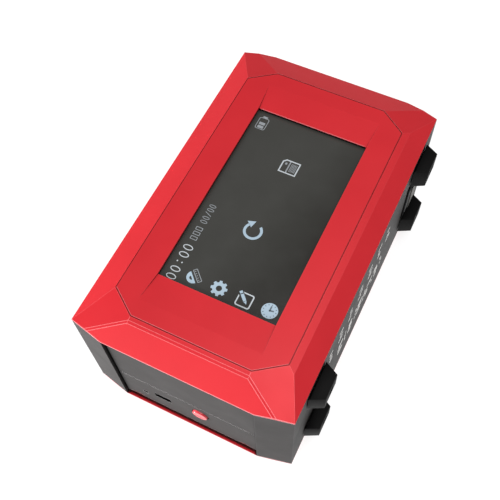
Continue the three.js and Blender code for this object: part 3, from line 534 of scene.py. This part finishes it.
def gear_icon():
    teeth = 8
    tip, root = 3.6, 2.8
    outline = []
    for i in range(teeth):
        centre = 360 / teeth * i + 10
        outline += arc(0, 0, tip, tip, centre - 9, centre + 9, 3)
        outline += arc(0, 0, root, root, centre + 15, centre + 30, 3)
    add_icon("gear_symbol", [outline, arc(0, 0, 1.3, 1.3, count=24)], GEAR_AT, ICON)


def edit_icon():
    lines = [rounded_box(0, 0, 6.7, 6.7, 1.0), rounded_box(0, 0, 5.6, 5.6, 0.6)]
    add_icon("edit_frame", lines, EDIT_AT, ICON_LINE)
    add_icon("edit_backing", [bar(-1.2, -1.0, 3.6, 3.8, 2.3)], EDIT_AT, SCREEN, layer=1)
    pencil = [bar(-0.3, -0.3, 2.1, 2.1, 1.35), bar(2.4, 2.4, 3.2, 3.2, 1.35)]
    nib = [[(-1.5, -1.5), (-0.9, 0.05), (0.05, -0.9)]]
    add_icon("edit_pencil", pencil + nib, EDIT_AT, ICON, layer=2)


def clock_icon():
    radius = 3.5
    add_icon("clock_face", [arc(0, 0, radius, radius, count=48)], CLOCK_AT, ICON)
    ticks = []
    for i in range(12):
        way = math.radians(30 * i)
        u, v = math.cos(way), math.sin(way)
        ticks.append(bar(u * 2.5, v * 2.5, u * 3.0, v * 3.0, 0.3))
    add_icon("clock_ticks", ticks, CLOCK_AT, ICON_DARK, layer=1)
    hands = [bar(-0.3, 0, 2.2, 0, 0.6), bar(0, 0.3, 0.4, -1.7, 0.6)]
    add_icon("clock_hands", hands, CLOCK_AT, ICON_DARK, layer=2)


def measure_icon():
    disc = arc(0, 0.5, 2.9, 2.9, 0, 180, 24)
    window = arc(0, 1.2, 1.0, 1.0, 0, 180, 16)
    add_icon("protractor_symbol", [disc, window], MEASURE_AT, ICON, turn=45)
    ruler = [rounded_box(0, -1.4, 6.4, 2.0, 0.3), rounded_box(0, -1.4, 5.8, 1.4, 0.2)]
    marks = [bar(u, -0.9, u, -1.5, 0.3) for u in (-2.2, -1.1, 0.0, 1.1, 2.2)]
    add_icon("ruler_symbol", ruler + marks, MEASURE_AT, ICON_FAINT, turn=45)


def refresh_icon():
    outer, inner = 4.3, 3.1
    ring = arc(0, 0, outer, outer, 48, 322, 40) + arc(0, 0, inner, inner, 322, 48, 40)
    head = [(1.3, 1.6), (3.7, 4.3), (4.9, 0.7)]
    add_icon("refresh_symbol", [ring, head], REFRESH_AT, ICON)


def card_icon():
    outline = [(-3.4, -4.1), (4.0, -4.1), (4.0, 2.9), (2.6, 4.3), (-3.4, 4.3)]
    inner = [(-2.8, -3.5), (3.4, -3.5), (3.4, 2.6), (2.3, 3.7), (-2.8, 3.7)]
    divider = rounded_box(0.3, 0.7, 6.1, 0.6, 0.1)
    add_icon("card_outline", [outline, inner], CARD_AT, ICON_LINE)
    blob = rounded_box(1.7, 2.3, 1.2, 1.0, 0.4)
    lines = [bar(-1.9, v, 2.6, v, 0.3) for v in (-2.8, -2.2, -1.6, -1.0, -0.4)]
    add_icon("card_contents", [divider, blob] + lines, CARD_AT, ICON_FAINT)


def screen_picture():
    clock_readout()
    date_readout()
    battery_icon()
    measure_icon()
    gear_icon()
    edit_icon()
    clock_icon()
    refresh_icon()
    card_icon()


# ---- Printed marks on the print side -------------------------------------------------------

def side_marks():
    """Rows of short pale strokes in place of the printed words, one thin slab."""
    face_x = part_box("side_shell_print")[1][0] + INK_LIFT
    small_columns, small_start, small_pitch = 7, -45.0, 11.0
    large_columns, large_start, large_pitch = 5, -31.0, 10.5
    draw = random.Random(7)
    strokes = []

    def stroke(y, z, length, height):
        corner = min(length, height) * 0.3
        middle = y + length / 2
        strokes.append(rounded_box(middle * MM, z * MM, length * MM, height * MM, corner * MM))

    for i in range(small_columns):
        y = small_start + small_pitch * i
        stroke(y, 54.0, draw.uniform(3.0, 5.0), 1.6)
        stroke(y + 1.0, 49.0, draw.uniform(2.5, 4.5), 1.6)
        stroke(y + draw.uniform(0.0, 2.0), 45.0, draw.uniform(3.0, 6.0), 1.8)
    for i in range(large_columns):
        y = large_start + large_pitch * i
        for z in (33.0, 29.0, 24.5):
            start = y + draw.uniform(-1.0, 2.0)
            stroke(start, z, draw.uniform(3.0, 7.0), draw.uniform(2.0, 3.2))
            stroke(start + 7.6, z + 0.8, draw.uniform(0.8, 2.0), draw.uniform(1.5, 3.0))
    mesh = flat_mesh("side_marks", strokes, INK_THICK)
    stand_up = Matrix(((0, 0, 1, face_x), (1, 0, 0, 0), (0, 1, 0, 0), (0, 0, 0, 1)))
    mesh.transform(stand_up)
    add_object("side_marks", mesh, INK, "case")


# ---- Stage ---------------------------------------------------------------------------------

def floor():
    """A wide white sheet just under the printer."""
    size, drop = 6.0, -0.1 * MM
    mesh = bpy.data.meshes.new("floor")
    corners = [(-size, -size, drop), (size, -size, drop), (size, size, drop), (-size, size, drop)]
    mesh.from_pydata(corners, [], [(0, 1, 2, 3)])
    ground = bpy.data.objects.new("floor", mesh)
    bpy.context.scene.collection.objects.link(ground)
    material, _, shader = new_material("floor_white")
    shader.inputs["Base Color"].default_value = (0.24, 0.24, 0.24, 1)
    shader.inputs["Emission Color"].default_value = (1, 1, 1, 1)
    shader.inputs["Emission Strength"].default_value = 0.86
    shader.inputs["Roughness"].default_value = 0.9
    shader.inputs["Specular IOR Level"].default_value = 0.1
    mesh.materials.append(material)


def area_light(name, place, target, size, power):
    """A white rectangle of light at place, facing target."""
    light = bpy.data.lights.new(name, "AREA")
    light.shape = "RECTANGLE"
    light.size, light.size_y = size
    light.energy = power
    lamp = bpy.data.objects.new(name, light)
    bpy.context.scene.collection.objects.link(lamp)
    lamp.location = place
    lamp.rotation_euler = (Vector(target) - Vector(place)).to_track_quat("-Z", "Y").to_euler()


def lights():
    """Even surrounding light, a key from the near end, a low one from the left and one above."""
    world = bpy.data.worlds.new("studio")
    world.use_nodes = True
    world.node_tree.nodes["Background"].inputs["Color"].default_value = (1, 1, 1, 1)
    world.node_tree.nodes["Background"].inputs["Strength"].default_value = 0.33
    bpy.context.scene.world = world
    area_light("key", (-0.36, -0.97, 0.60), (0, 0, 0.04), (0.6, 0.6), 9.2)
    area_light("left", (-0.55, -0.36, 0.02), (0, 0, 0.03), (0.3, 0.06), 6.6)
    area_light("overhead", (0.22, 0.05, 1.10), (0, 0, 0.04), (0.7, 0.7), 6.9)


def camera():
    """The photo's viewpoint; backward points from the printer to the camera."""
    lens = bpy.data.cameras.new("camera")
    lens.sensor_width = 36.0
    lens.lens = 53.9
    view = bpy.data.objects.new("camera", lens)
    bpy.context.scene.collection.objects.link(view)
    backward = Vector((0.2333, -0.4206, 0.8768)).normalized()
    right = Vector((-0.3741, 0.7934, 0.4801)).cross(backward).normalized()
    up = backward.cross(right)
    turn = Matrix((right, up, backward)).transposed()
    view.matrix_world = Matrix.Translation((0.0764, -0.1545, 0.3482)) @ turn.to_4x4()
    bpy.context.scene.camera = view
    bpy.context.scene.view_settings.view_transform = "Standard"


camera()
lights()
floor()
finish_nodes()
screen_picture()
side_marks()
